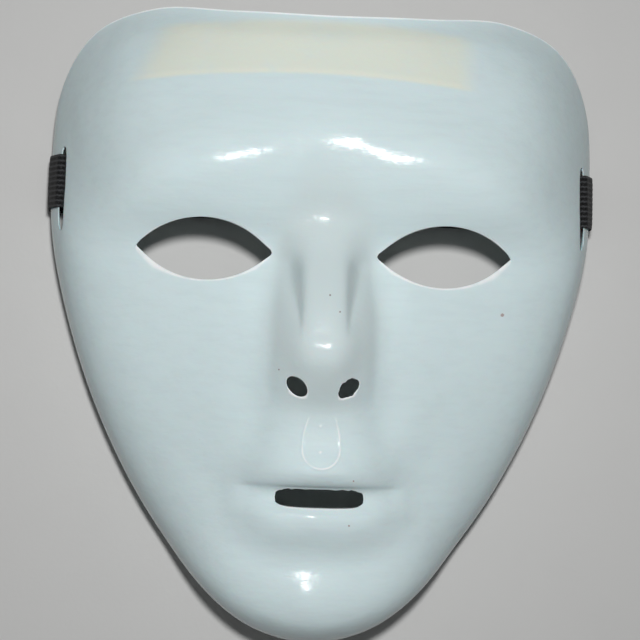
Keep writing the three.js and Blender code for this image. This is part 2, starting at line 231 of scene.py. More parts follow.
def eye_edge(turn, side):
    """A point of the eye's cut: an almond between two arcs, with its tips just rounded."""
    x = EYE["half_length"] * math.cos(turn)
    rise = EYE["above"] if math.sin(turn) > 0 else EYE["below"]
    radius = (EYE["half_length"] ** 2 + rise ** 2) / (2 * rise)
    arc = max(rise - radius + math.sqrt(radius ** 2 - x ** 2), 0)
    rounded = math.sqrt(arc ** 2 + 2 * EYE["tip"] * arc) - EYE["tip"] * (1 - math.exp(-arc / EYE["tip"]))
    y = math.copysign(rounded, math.sin(turn))
    slant = math.radians(side * EYE["slant"])
    return (side * EYE["x"] + x * math.cos(slant) - y * math.sin(slant),
            EYE["y"] + x * math.sin(slant) + y * math.cos(slant))


def nostril_edge(turn, side):
    """A point of the nostril's cut: an oval whose upper end leans outward."""
    lean = math.radians(NOSTRIL["lean"] if side > 0 else 180 - NOSTRIL["lean"])
    along = math.cos(turn - lean) / NOSTRIL["long"]
    across = math.sin(turn - lean) / NOSTRIL["short"]
    reach = 1 / math.hypot(along, across)
    if side > 0:  # this one was punched roughly
        reach += 0.16 * math.sin(5 * turn + 0.4) + 0.09 * math.sin(11 * turn)
    middle_x = NOSTRIL["middle"] + side * NOSTRIL["x"]
    return middle_x + reach * math.cos(turn), NOSTRIL["y"] + reach * math.sin(turn)


def slot_edge(turn, x, y, half_x, half_y):
    """A long slot with rounded corners."""
    c, s = math.cos(turn), math.sin(turn)
    return x + half_x * math.copysign(abs(c) ** 0.5, c), y + half_y * math.copysign(abs(s) ** 0.5, s)


def mouth_edge(turn, side):
    """A point of the mouth's cut."""
    x, y = slot_edge(turn, MOUTH["x"], MOUTH["y"], MOUTH["half_length"], MOUTH["half_height"])
    if math.sin(turn) > 0.5:  # the upper edge tore a little
        y += 0.16 * math.sin(1.9 * x) + 0.12 * math.sin(4.3 * x + 1)
    return x, y


def strap_slot_edge(turn, side):
    """A point of the cut that the elastic goes through."""
    half_width, half_length = STRAP_SLOT["half_width"], STRAP_SLOT["half_length"]
    return slot_edge(turn, side * STRAP_SLOT["x"], STRAP_SLOT["y"], half_width, half_length)


# Little tags and one nick that the trimming left, most of them along the top: the angle round the
# edge in degrees, how far each stands out, and its width in degrees
EDGE_TAGS = [(97.5, 0.55, 1.4), (95.2, 0.4, 0.9), (88.8, 0.45, 0.8), (74, 0.5, 1.1), (46, 0.45, 0.8),
             (38, 0.5, 1.3), (33.5, -0.5, 1.0), (139, 0.5, 1.2), (128, 0.35, 0.8)]


def burr(angle):
    """How far the trimmed edge stands out at an angle, tags and all."""
    out = 0
    for at, size, wide in EDGE_TAGS:
        out += size * math.exp(-((math.degrees(angle) - at) / wide) ** 2)
    return out + 0.05 * math.sin(47 * angle) + 0.04 * math.sin(83 * angle + 1)


def on_blank(u, v):
    """Draws a point of a square grid out to the face's outline."""
    x, y = u * math.sqrt(1 - v * v / 2), v * math.sqrt(1 - u * u / 2)
    angle = math.atan2(y, x)
    reach = float(rim_radius(angle)) * math.hypot(x, y)
    return reach * math.cos(angle), reach * math.sin(angle)


def on_grid(x, y):
    """Where a point of the face falls in the square grid."""
    angle = math.atan2(y, x)
    part = math.hypot(x, y) / float(rim_radius(angle))
    x, y = part * math.cos(angle), part * math.sin(angle)
    a, b, c = 2 + x * x - y * y, 2 - x * x + y * y, 2 * math.sqrt(2)
    return (0.5 * (math.sqrt(max(a + c * x, 0)) - math.sqrt(max(a - c * x, 0))),
            0.5 * (math.sqrt(max(b + c * y, 0)) - math.sqrt(max(b - c * y, 0))))


def window(bm, x, y, half_x, half_y):
    """Takes faces out of the flat grid round a hole to come, and gives the loop left round them
    with the turn of each of its corners as seen from the hole's middle."""
    low, high = on_grid(x - half_x, y)[0], on_grid(x + half_x, y)[0]
    bottom, top = on_grid(x, y - half_y)[1], on_grid(x, y + half_y)[1]
    inside = []
    for face in bm.faces:
        middle = face.calc_center_median()
        if low < middle.x < high and bottom < middle.y < top:
            inside.append(face)
    near = set(v for face in inside for v in face.verts)
    bmesh.ops.delete(bm, geom=inside, context="FACES")
    loop = [e for e in bm.edges if e.is_boundary and e.verts[0] in near and e.verts[1] in near]
    corners = set(v for e in loop for v in e.verts)
    left, right = min(v.co.x for v in corners), max(v.co.x for v in corners)
    bottom, top = min(v.co.y for v in corners), max(v.co.y for v in corners)
    turns = {}
    for v in corners:
        up = (2 * v.co.y - top - bottom) / (top - bottom)
        turns[v] = math.atan2(up, (2 * v.co.x - right - left) / (right - left))
    for tip in (0, math.pi):
        nearest = min(turns, key=lambda v: abs(abs(turns[v]) - tip))
        turns[nearest] = tip
    return loop, turns


# How round the upper edge of a cut is, and how soon its whitening and painted highlight fade away from it
EDGE_ROUND = 0.22
WHITE_AND_HIGHLIGHT_FADE = 9


def rings_to_cut(bm, loop, turns, edge_of, side, rings):
    """Fills a window with rings of faces that run in to the cut and turn down over its edge. The
    punch came straight down, so the sheet's inner side is straight under the outer one there."""
    starts = {v: (v.co.copy(), Vector((*edge_of(turn, side), 0))) for v, turn in turns.items()}
    steps = [(1 - (1 - ring / rings) ** 1.4, EDGE_ROUND, 0.0) for ring in range(1, rings + 1)]
    steps += [(1.0, 0.3 * EDGE_ROUND, 0.29 * EDGE_ROUND), (1.0, 0.0, EDGE_ROUND)]
    for part, short, drop in steps:
        here = {tuple(round(c, 6) for c in v.co): pair for v, pair in starts.items()}
        grown = bmesh.ops.extrude_edge_only(bm, edges=loop)["geom"]
        starts = {}
        for v in (g for g in grown if isinstance(g, bmesh.types.BMVert)):
            starts[v] = here[tuple(round(c, 6) for c in v.co)]
        for v, (start, end) in starts.items():
            away = (start - end).normalized()
            v.co = start.lerp(end + away * short, part)
            v[drop_layer] = drop
            v[plumb_layer] = part
            # Except at the strap slots the cut is coloured whiter: partly the real whitening of cut
            # plastic, partly a painted highlight that is strongest on the lower edges, which face the
            # lamp
            if edge_of is not strap_slot_edge:
                lit_lower_edge = ease(0.3, -0.4, away.y)
                v[white_and_highlight_layer] = part ** WHITE_AND_HIGHLIGHT_FADE * float(mix(0.35, 1, lit_lower_edge))
        loop = [g for g in grown if isinstance(g, bmesh.types.BMEdge) and g.is_boundary]


# The sheet starts as a flat square grid. Its lines crowd together toward the outline, where the
# face turns down to the rim
CROWDED_FROM = 0.86
blank = bmesh.new()
bmesh.ops.create_grid(blank, x_segments=176, y_segments=200, size=1.0)
place = np.linspace(0, 1, 2001)
crowd = 1 + 4 * ease(CROWDED_FROM, 1, (place[1:] + place[:-1]) / 2)
crowding = np.concatenate([[0], np.cumsum(crowd)])
crowding /= crowding[-1]
for vert in blank.verts:
    u, v = (math.copysign(np.interp(abs(c), crowding, place), c) for c in vert.co[:2])
    vert.co = (u, v, 0)
drop_layer = blank.verts.layers.float.new("drop")
plumb_layer = blank.verts.layers.float.new("plumb")
white_and_highlight_layer = blank.verts.layers.float.new("cut")

# Each window is a few millimetres larger than its hole. Rings of faces fill the space between
# them, and the last number says how many
holes = []
for side in (1, -1):
    opened = window(blank, side * EYE["x"], EYE["y"], 23.8, 13)
    holes.append((opened, eye_edge, side, 7))
    opened = window(blank, NOSTRIL["middle"] + side * NOSTRIL["x"], NOSTRIL["y"], 4.6, 4.8)
    holes.append((opened, nostril_edge, side, 5))
    opened = window(blank, side * STRAP_SLOT["x"], STRAP_SLOT["y"], 2.1, 14.6)
    holes.append((opened, strap_slot_edge, side, 3))
opened = window(blank, MOUTH["x"], MOUTH["y"], 15.6, 4.9)
holes.append((opened, mouth_edge, 1, 5))
for vert in blank.verts:
    vert.co = (*on_blank(vert.co.x, vert.co.y), 0)
rim = [v for v in blank.verts if v.is_boundary and not any(v in turns for (loop, turns), *_ in holes)]
for (loop, turns), edge_of, side, rings in holes:
    rings_to_cut(blank, loop, turns, edge_of, side, rings)

LIP_U = {"x": 0.6, "bend_y": -34.4, "half_width": 5.7, "half_line": 0.32, "height": 0.24}

# The finest carving needs smaller faces than the rest: the line in the upper lip, the creases
# along the nose and the one over the mouth
for low, high, half_x, times in ((-43, -22.5, 8, 3), (-1.5, 31, 15, 1), (-48.3, -43.2, 27, 2)):
    fine = set(v for v in blank.verts if abs(v.co.x - LIP_U["x"]) < half_x and low < v.co.y < high)
    there = [e for e in blank.edges if fine.issuperset(e.verts)]
    bmesh.ops.subdivide_edges(blank, edges=there, cuts=times, use_grid_fill=True)


def lip_line(x, y):
    """Height of the raised U in the upper lip, with two specks inside it."""
    from_middle = x - LIP_U["x"]
    above_bend = y - LIP_U["bend_y"]
    arm = np.abs(from_middle) - (LIP_U["half_width"] - 1.9 * (np.maximum(above_bend, 0) / 10) ** 2)
    bend = np.hypot(from_middle, above_bend) - LIP_U["half_width"]
    away = np.abs(np.where(y > LIP_U["bend_y"], arm, bend))
    uneven = 0.8 + 0.2 * np.sin(0.9 * y - 0.5 * x)
    line = LIP_U["height"] * np.exp(-(away / LIP_U["half_line"]) ** 2) * ease(-24, -25.5, y) * uneven
    specks = mound(x, y, 0.2, -27.4, 0.5, 0.5) + mound(x, y, 0.4, -35.2, 0.5, 0.5)
    return line + 0.22 * specks


def nose_creases(x, y):
    """Depth of the crease down each side of the nose: a steep wall that ends in a sharp corner.
    Between the eyes it is wide; toward the tip it runs out in a fine line."""
    wide = ease(0, 24, y)
    corner = np.abs(x) - mix(7.5, 10.6, wide)
    wall = ease(mix(-1.2, -6, wide), 0.15, corner)
    depth = 1.9 * ease(27, 18, y) * ease(-3, 14, y)
    return depth * wall * np.exp(-np.maximum(corner, 0) / mix(1.5, 6, wide))


def nose_outline(x, y):
    """Depth of the shallow line where the nose's sides leave the cheeks."""
    from_line = np.abs(x - 0.3) - 15.9 + 0.001 * (y + 10) ** 2
    return 0.28 * np.exp(-(from_line / 1.7) ** 2) * ease(26, 14, y) * ease(-24, -17, y)


def lip_crease(x, y):
    """Depth of the crease over the mouth: the upper lip turns under to a sharp corner."""
    from_line = y - (MOUTH["y"] + 3.5) + 0.0008 * (x - MOUTH["x"]) ** 2
    fall = np.where(from_line > 0, 1.5, 5)
    return 1.15 * np.exp(-np.abs(from_line) / fall) * ease(28, 20, np.abs(x - MOUTH["x"]))


def small_swellings(x, y):
    """The fullest places of brow, nose, lips and chin, which give the reflections their shapes."""
    brow = 0.033 * (y - 57) * mound(x, y, 10, 57, 6, 6) - 0.3 * mound(x, y, 17, 55, 8, 12)
    brow = brow - (0.05 * (y - 52) + 0.016 * (x + 29)) * mound(x, y, -30, 52, 7, 6)
    root = 0.8 * mound(x, y, -0.1, 35.3, 4.5, 5)
    tip = (0.032 * x ** 2 + 0.08 * x) * mound(x, y, 0, -3, 4.5, 8) + 0.25 * mound(x, y, 0, -3, 9, 2)
    lip = 0.4 * mound(x, y, -0.8, -54.5, 4, 4)
    return brow + root + tip + lip + 0.38 * mound(x, y, -2.5, -81, 5, 6)


def trimmed_edge(x, y):
    """The blade turned the edge up a little wherever the rim is off the table."""
    angle = np.arctan2(y, x)
    inside = rim_radius(angle) - np.hypot(x, y)
    return 0.16 * np.exp(-(inside / 0.3) ** 2) * ease(3, 9, rim_height(angle))


# The sheet is coloured whiter this far in from its trimmed rim, partly real whitening of the cut and
# partly a painted highlight, and on the lip's line, as a painted highlight, the more the higher the line
# stands
RIM_WHITE_AND_HIGHLIGHT = 0.7
LINE_WHITE_AND_HIGHLIGHT = 0.42
# The steepest slope that a cut is made straight down through, and the fold that stays sharp
STEEPEST = 0.35
SHARP_FOLD = math.radians(55)
places = np.array([v.co[:2] for v in blank.verts], float)
heights = face_height(places[:, 0], places[:, 1])
for added in (lip_line, small_swellings, trimmed_edge):
    heights = heights + added(places[:, 0], places[:, 1])
for taken in (nose_creases, nose_outline, lip_crease):
    heights = heights - taken(places[:, 0], places[:, 1])
normals = face_normal(places[:, 0], places[:, 1])
rim = set(rim)
skins = {}
for vert, height, normal in zip(blank.verts, heights, normals):
    angle = math.atan2(vert.co.y, vert.co.x)
    inside = float(rim_radius(angle)) - math.hypot(vert.co.x, vert.co.y)
    at_rim = math.hypot(inside, float(height - rim_height(angle)))
    on_line = float(lip_line(vert.co.x, vert.co.y)) / LINE_WHITE_AND_HIGHLIGHT
    vert[white_and_highlight_layer] = max(vert[white_and_highlight_layer], 1 - at_rim / RIM_WHITE_AND_HIGHLIGHT, on_line)
    if vert in rim:
        vert.co *= 1 + burr(angle) / math.hypot(vert.co.x, vert.co.y)
    base = Vector((vert.co.x, vert.co.y, height))
    vert.co = base - Vector(normal) * vert[drop_layer]
    straight_in = Vector((0, 0, 1 / max(float(normal[2]), STEEPEST)))
    under = Vector(normal).lerp(straight_in, vert[plumb_layer])
    skins[tuple(round(c, 5) for c in vert.co)] = base - under * SHEET
grown = bmesh.ops.extrude_face_region(blank, geom=list(blank.faces), use_keep_orig=True)["geom"]
for vert in (g for g in grown if isinstance(g, bmesh.types.BMVert)):
    vert.co = skins[tuple(round(c, 5) for c in vert.co)]
bmesh.ops.recalc_face_normals(blank, faces=list(blank.faces))
bmesh.ops.scale(blank, vec=(0.001, 0.001, 0.001), verts=list(blank.verts))
for face in blank.faces:
    face.smooth = True
for edge in blank.edges:
    if len(edge.link_faces) == 2 and edge.calc_face_angle() > SHARP_FOLD:
        edge.smooth = False
shell_mesh = bpy.data.meshes.new("shell")
blank.to_mesh(shell_mesh)
blank.free()
shell = bpy.data.objects.new("formed_shell", shell_mesh)
bpy.context.scene.collection.objects.link(shell)

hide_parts("mask_shell")
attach(shell, "root")


def node(tree, kind, inputs=None, **settings):
    """Adds a shader node. Its inputs go by name or place, and take a value or another's output."""
    made = tree.nodes.new("ShaderNode" + kind)
    for name, value in settings.items():
        setattr(made, name, value)
    for name, value in (inputs or {}).items():
        if isinstance(value, bpy.types.NodeSocket):
            tree.links.new(value, made.inputs[name])
        else:
            made.inputs[name].default_value = value
    return made


def calc(tree, operation, *values, clamp=False):
    """One step of arithmetic on values and outputs."""
    return node(tree, "Math", dict(enumerate(values)), operation=operation, use_clamp=clamp).outputs[0]


def soft_step(tree, value, start, end):
    """0 before the start and 1 after the end, or the other way round if the end comes first."""
    low, high, flipped = (start, end, False) if start < end else (end, start, True)
    inputs = {"Value": value, "From Min": low, "From Max": high,
              "To Min": 1.0 if flipped else 0.0, "To Max": 0.0 if flipped else 1.0}
    return node(tree, "MapRange", inputs, interpolation_type="SMOOTHSTEP").outputs["Result"]


def noise(tree, vector, scale, detail=2.0, rough=0.5, stretch=(1, 1, 1)):
    """Soft noise round 0.5 with so many waves to the metre, drawn out where the stretch is small."""
    mapped = node(tree, "Mapping", {"Vector": vector, "Scale": stretch}).outputs[0]
    inputs = {"Vector": mapped, "Scale": scale, "Detail": detail, "Roughness": rough}
    return node(tree, "TexNoise", inputs).outputs["Fac"]


def tinted(tree, mask, colour, other):
    """The colour where the mask is 0, and the other where it is 1."""
    made = node(tree, "Mix", data_type="RGBA")
    for socket, value in ((made.inputs[0], mask), (made.inputs[6], colour), (made.inputs[7], other)):
        if isinstance(value, bpy.types.NodeSocket):
            tree.links.new(value, socket)
        else:
            socket.default_value = value
    return made.outputs[2]


def relief(tree, height):
    """Bumps from a height in millimetres."""
    return node(tree, "Bump", {"Height": height, "Distance": 0.001, "Strength": 1.0}).outputs[0]


def new_material(name, **plain):
    """An empty material with its shader and the piece's own coordinates."""
    made = bpy.data.materials.new(name)
    made.use_nodes = True
    tree = made.node_tree
    tree.nodes.clear()
    surface = node(tree, "BsdfPrincipled", {key.replace("_", " "): value for key, value in plain.items()})
    node(tree, "OutputMaterial", {"Surface": surface.outputs[0]})
    return made, tree, surface, node(tree, "TexCoord").outputs["Object"]


def new_group(name, inputs, outputs):
    """An empty group with named inputs and outputs, for an effect that is used more than once."""
    made = bpy.data.node_groups.new(name, "ShaderNodeTree")
    for label, kind in inputs.items():
        made.interface.new_socket(name=label, in_out="INPUT", socket_type="NodeSocket" + kind)
    for label, kind in outputs.items():
        made.interface.new_socket(name=label, in_out="OUTPUT", socket_type="NodeSocket" + kind)
    return made, made.nodes.new("NodeGroupInput").outputs, made.nodes.new("NodeGroupOutput").inputs


def grouped(tree, group, **values):
    """Places a group in a material with values of its own."""
    made = tree.nodes.new("ShaderNodeGroup")
    made.node_tree = group
    for name, value in values.items():
        if isinstance(value, bpy.types.NodeSocket):
            tree.links.new(value, made.inputs[name])
        else:
            made.inputs[name].default_value = value
    return made.outputs


# What lies on every surface here: an uneven tone and a few motes of dust
settled, given, result = new_group("settled_dust", {"Coordinates": "Vector"},
                                   {"Tone": "Float", "Dust": "Float"})
large = noise(settled, given["Coordinates"], 38.0, 3.0, 0.55)
settled.links.new(calc(settled, "MULTIPLY_ADD", large, 2.0, -1.0), result["Tone"])
mote = node(settled, "TexVoronoi", {"Vector": given["Coordinates"], "Scale": 170.0, "Randomness": 1.0})
own_number = node(settled, "SeparateColor", {"Color": mote.outputs["Color"]}).outputs[0]
kept = calc(settled, "GREATER_THAN", own_number, 0.8)
small = soft_step(settled, mote.outputs["Distance"], 0.045, 0.02)
settled.links.new(calc(settled, "MULTIPLY", kept, small), result["Dust"])

# A single speck of dirt, at a place and with a size of its own
speck, given, result = new_group("speck", {"Coordinates": "Vector", "Place": "Vector", "Size": "Float"},
                                 {"Mask": "Float"})
ragged = noise(speck, given["Coordinates"], 2500.0, 1.0)
seen_flat = {0: given["Coordinates"], 1: (1.0, 1.0, 0.0)}
flat = node(speck, "VectorMath", seen_flat, operation="MULTIPLY").outputs[0]
gone = node(speck, "VectorMath", {0: flat, 1: given["Place"]}, operation="DISTANCE").outputs["Value"]
in_sizes = calc(speck, "DIVIDE", gone, given["Size"])
worn = calc(speck, "MULTIPLY", in_sizes, calc(speck, "ADD", ragged, 0.5))
speck.links.new(soft_step(speck, worn, 0.62, 0.38), result["Mask"])

plastic, tree, surface, here = new_material("white_plastic", IOR=1.46, Specular_IOR_Level=0.16,
                                            Subsurface_Weight=0.12, Subsurface_Scale=0.001)
axes = node(tree, "SeparateXYZ", {"Vector": here}).outputs
wear = grouped(tree, settled, Coordinates=here)

# The foam stuck behind the forehead shows through the sheet as a warm band, in metres here. Each
# pair is where an edge of the band starts to fade in and where it is full. The band follows the
# forehead's arch, its left end leans, and its lower edge is the brightest
SHOWN_MIDDLE_X = -0.007
SHOWN_HALF = 0.05
SHOWN_ARCH = 0.003
SHOWN_LEAN = -0.415
SHOWN_LEFT = (-0.095, -0.085)
SHOWN_RIGHT = (0.0465, 0.037)
SHOWN_LOW = (0.0782, 0.0796)
SHOWN_HIGH = (0.0972, 0.0942)
SHOWN_BRIGHT = (0.0812, 0.0796)
from_middle = calc(tree, "DIVIDE", calc(tree, "ADD", axes[0], -SHOWN_MIDDLE_X), SHOWN_HALF)
bow = calc(tree, "POWER", calc(tree, "ABSOLUTE", from_middle), 2.0)
arched = calc(tree, "MULTIPLY_ADD", bow, SHOWN_ARCH, axes[1])
leaning = calc(tree, "MULTIPLY_ADD", axes[1], SHOWN_LEAN, axes[0])
left_end = soft_step(tree, leaning, *SHOWN_LEFT)
sides = calc(tree, "MULTIPLY", left_end, soft_step(tree, axes[0], *SHOWN_RIGHT))
blotches = soft_step(tree, noise(tree, here, 60.0, 3.0, 0.6), 0.05, 0.5)
sides = calc(tree, "MULTIPLY", sides, blotches)
low_edge = soft_step(tree, arched, *SHOWN_LOW)
behind = calc(tree, "MULTIPLY", low_edge, soft_step(tree, arched, *SHOWN_HIGH))
behind = calc(tree, "MULTIPLY", behind, sides)
glow_line = calc(tree, "MULTIPLY", low_edge, soft_step(tree, arched, *SHOWN_BRIGHT))
glow_line = calc(tree, "MULTIPLY", glow_line, sides)

# The white is a little uneven, with faint streaks across the sheet
tone = calc(tree, "MULTIPLY", wear["Tone"], 0.12, clamp=True)
colour = tinted(tree, tone, (0.70, 0.83, 0.85, 1), (0.62, 0.75, 0.775, 1))
drawn = soft_step(tree, noise(tree, here, 420.0, 3.0, 0.6, (0.12, 1, 1)), 0.4, 0.75)
colour = tinted(tree, calc(tree, "MULTIPLY", drawn, 0.35), colour, (0.64, 0.755, 0.775, 1))

# The sheet is coloured a little greyer over the nose
GREYER_NOSE = {"y": 0.011, "half_x": 0.0175, "half_y": 0.039}
grey_x = calc(tree, "DIVIDE", calc(tree, "ABSOLUTE", axes[0]), GREYER_NOSE["half_x"])
grey_y = calc(tree, "DIVIDE", calc(tree, "ADD", axes[1], -GREYER_NOSE["y"]), GREYER_NOSE["half_y"])
squares = calc(tree, "ADD", calc(tree, "POWER", grey_x, 2.0), calc(tree, "POWER", grey_y, 2.0))
from_greyest = calc(tree, "SQRT", squares)
colour = tinted(tree, soft_step(tree, from_greyest, 1.25, 0.7), colour, (0.655, 0.755, 0.765, 1))

# Over that come the foam's warm band, its bright lower edge and the dust
colour = tinted(tree, behind, colour, (0.775, 0.825, 0.735, 1))
colour = tinted(tree, calc(tree, "MULTIPLY", glow_line, 0.4), colour, (0.86, 0.885, 0.78, 1))
colour = tinted(tree, calc(tree, "MULTIPLY", wear["Dust"], 0.35), colour, (0.55, 0.56, 0.56, 1))

# Specks of dirt on the nose, a cheek and the lips: the place and size in metres, and the colour
SPECKS = [((0.0013, 0.0118, 0), 0.0006, (0.30, 0.26, 0.25, 1)),
          ((0.0043, 0.0069, 0), 0.0005, (0.25, 0.22, 0.22, 1)),
          ((-0.013, -0.0109, 0), 0.0005, (0.34, 0.26, 0.26, 1)),
          ((0.0557, 0.0081, 0), 0.0011, (0.42, 0.30, 0.29, 1)),
          ((0.0107, -0.0436, 0), 0.0005, (0.40, 0.28, 0.27, 1)),
          ((0.010, -0.0573, 0), 0.0006, (0.42, 0.30, 0.29, 1))]
for place, size, dirt in SPECKS:
    mask = grouped(tree, speck, Coordinates=here, Place=place, Size=size)["Mask"]
    colour = tinted(tree, calc(tree, "MULTIPLY", mask, 0.85), colour, dirt)

# Where the blade went through, and on the lip's line, the plastic is whiter and duller, here more and
# there less. The whiter colour is partly the real whitening of cut plastic and partly a painted highlight
white_and_highlight_here = node(tree, "Attribute", attribute_name="cut").outputs["Fac"]
patchy = soft_step(tree, noise(tree, here, 260.0, 2.0), 0.35, 0.6)
strength = calc(tree, "MULTIPLY_ADD", patchy, 0.4, 0.6)
whitened_and_highlit = calc(tree, "MULTIPLY", soft_step(tree, white_and_highlight_here, 0.05, 0.6), strength)
colour = tinted(tree, whitened_and_highlit, colour, (0.95, 0.98, 0.985, 1))
tree.links.new(colour, surface.inputs["Base Color"])
gloss = calc(tree, "MULTIPLY_ADD", noise(tree, here, 90.0, 3.0, 0.6), 0.12, 0.14)
gloss = calc(tree, "ADD", gloss, calc(tree, "MULTIPLY", calc(tree, "ADD", whitened_and_highlit, wear["Dust"]), 0.3))

# Inside the U in the upper lip the sheet is duller
DULL = {"x": 0.0006, "y": -0.0315, "half_x": 0.0055, "half_y": 0.0085}
shrunk = {0: here, 1: (1 / DULL["half_x"], 1 / DULL["half_y"], 0.0)}
in_halves = node(tree, "VectorMath", shrunk, operation="MULTIPLY").outputs[0]
middle = (DULL["x"] / DULL["half_x"], DULL["y"] / DULL["half_y"], 0.0)
from_dull = node(tree, "VectorMath", {0: in_halves, 1: middle}, operation="DISTANCE").outputs["Value"]
gloss = calc(tree, "ADD", gloss, calc(tree, "MULTIPLY", soft_step(tree, from_dull, 1.0, 0.8), 0.3))
tree.links.new(gloss, surface.inputs["Roughness"])

# The mould left the sheet a little wavy and finely streaked across
waves = calc(tree, "MULTIPLY", noise(tree, here, 80.0, 1.0), 0.36)
streaks = calc(tree, "MULTIPLY", noise(tree, here, 1000.0, 2.0, 0.5, (0.25, 1, 1)), 0.035)
peel = calc(tree, "MULTIPLY", noise(tree, here, 380.0, 1.0), 0.06)
height = calc(tree, "ADD", calc(tree, "ADD", waves, streaks), peel)
tree.links.new(relief(tree, height), surface.inputs["Normal"])
shell_mesh.materials.append(plastic)


# Elastic strap.
# A flat black woven band with ribs over its rubber threads. Each end goes through a slot from
# inside, round the rim and is sewn down on the band. The rest lies slack under the mask.
BAND_WIDTH = 17.0
BAND_THICKNESS = 0.8
BAND_MIDDLE_Y = 45.6
GAP = 0.35
BAND_PLAY = 0.2
SLACK_SPAN = 130.0
SLACK_RISE = {"left": 3.4, "right": 2.2}
RIB_PITCH = 1.6


def slack_height(x, rise):
    """Height of the loose band's middle over the table: a low wave on each side."""
    wave = 1 - math.cos(4 * math.pi * x / SLACK_SPAN)
    return GAP + BAND_THICKNESS / 2 + rise / 2 * wave * float(ease(SLACK_SPAN / 2, SLACK_SPAN / 3, x))


def around_edge(x, z, radius, start, end, steps):
    """Points of a bend round an edge, from one angle to another in degrees."""
    turns = np.radians(np.linspace(start, end, steps + 1))
    return [(x + radius * math.cos(t), z + radius * math.sin(t)) for t in turns]


def band_section(y, rise):
    """Middle line of one half of the band, from its sewn end to the middle of the mask."""
    clear = GAP + BAND_THICKNESS / 2
    widest_x = RIM_POINTS[6][0]
    angle = math.atan2(y, widest_x)
    rim_x = float(rim_radius(angle)) * math.cos(angle)
    rim_z = float(rim_height(angle))
    under_rim = rim_z - SHEET * float(face_normal(rim_x, y)[2]) - clear - BAND_PLAY
    slot_x = STRAP_SLOT["x"] + STRAP_SLOT["half_width"]
    slot_z = float(face_height(slot_x, y))
    in_slot = slot_x - clear - BAND_PLAY

    def run_height(x):
        return mix(under_rim, slack_height(x, rise), float(ease(88, 66, x)))

    # the end that is sewn down on the band, then the climb up into the slot
    places = [(x, run_height(x) + BAND_THICKNESS + GAP) for x in (66, 69, 72, 75, 78)]
    bend_x, bend_z = places[-1]
    climb = slot_z - 3 - bend_z
    places.append((mix(bend_x, in_slot, 0.55), bend_z + 0.2 * climb))
    places.append((mix(bend_x, in_slot, 0.87), bend_z + 0.52 * climb))
    places.append((in_slot, bend_z + climb))
    # over the slot's edge, down the outside of the wall and round the rim
    places += around_edge(slot_x, slot_z, clear + BAND_PLAY, 180, 45, 4)
    for part in (0.25, 0.5, 0.75):
        x = mix(slot_x, rim_x, part)
        normal = face_normal(x, y)
        places.append((x + clear * float(normal[0]), float(face_height(x, y)) + clear * float(normal[2])))
    places += around_edge(rim_x - SHEET / 4, rim_z, clear + SHEET / 4, 10, -90, 4)
    # back under the mask and along the table to its middle
    places += [(x, run_height(x)) for x in (rim_x - 1.6, 84, 79, 74, 69, 64)]
    for step in range(1, 15):
        x = 60 * (1 - step / 14)
        places.append((x, slack_height(x, rise)))
    return places


def band_line(y, finer):
    """The band's line from end to end, at the height y up the face."""
    right = band_section(y, SLACK_RISE["right"])
    left = [(-x, z) for x, z in band_section(y, SLACK_RISE["left"])]
    return smooth_line(right + left[-2::-1], finer)


across = np.linspace(-0.5, 0.5, 43)
lines = [band_line(BAND_MIDDLE_Y + part * BAND_WIDTH, 5) for part in across]
stations = len(lines[0])
band = bmesh.new()
bmesh.ops.create_grid(band, x_segments=stations - 1, y_segments=len(across) - 1, size=0.5)
along_layer = band.verts.layers.float.new("along")
across_layer = band.verts.layers.float.new("across")
middle_line = lines[len(across) // 2]
run = np.concatenate([[0], np.cumsum(np.linalg.norm(np.diff(middle_line, axis=0), axis=1))])
outward = {}
for vert in band.verts:
    station = round((vert.co.x + 0.5) * (stations - 1))
    column = round((vert.co.y + 0.5) * (len(across) - 1))
    line = lines[column]
    x, z = line[station]
    dx, dz = line[min(station + 1, stations - 1)] - line[max(station - 1, 0)]
    from_middle = across[column] * BAND_WIDTH
    vert[along_layer] = min(run[station], run[-1] - run[station])
    vert[across_layer] = from_middle
    vert.co = (x, BAND_MIDDLE_Y + from_middle, z)
    edge = 1 - (2 * abs(across[column])) ** 10
    rib = math.cos(2 * math.pi * from_middle / RIB_PITCH)
    half = BAND_THICKNESS * (0.2 + 0.24 * edge + 0.06 * rib * edge)
    outward[tuple(round(c, 4) for c in vert.co)] = Vector((-dz, 0, dx)).normalized() * half
grown = bmesh.ops.extrude_face_region(band, geom=list(band.faces), use_keep_orig=True)["geom"]
copied = set(g for g in grown if isinstance(g, bmesh.types.BMVert))
for vert in band.verts:
    half = outward[tuple(round(c, 4) for c in vert.co)]
    vert.co += -half if vert in copied else half
bmesh.ops.recalc_face_normals(band, faces=list(band.faces))
bmesh.ops.scale(band, vec=(0.001, 0.001, 0.001), verts=list(band.verts))
for face in band.faces:
    face.smooth = True
strap_mesh = bpy.data.meshes.new("strap")
band.to_mesh(strap_mesh)
band.free()
strap = bpy.data.objects.new("woven_elastic", strap_mesh)
bpy.context.scene.collection.objects.link(strap)

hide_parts("elastic_strap")
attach(strap, "root")

# In millimetres: the yarn's step along the band, and where the seam lies from the end and how far
# it swings
PICK_PITCH = 0.9
SEAM_AT = 3.4
SEAM_SWING = 2.2
woven, tree, surface, here = new_material("black_elastic", Specular_IOR_Level=0.2,
                                          Sheen_Weight=0.04, Sheen_Roughness=0.5)
wear = grouped(tree, settled, Coordinates=here)
along = node(tree, "Attribute", attribute_name="along").outputs["Fac"]
over = node(tree, "Attribute", attribute_name="across").outputs["Fac"]

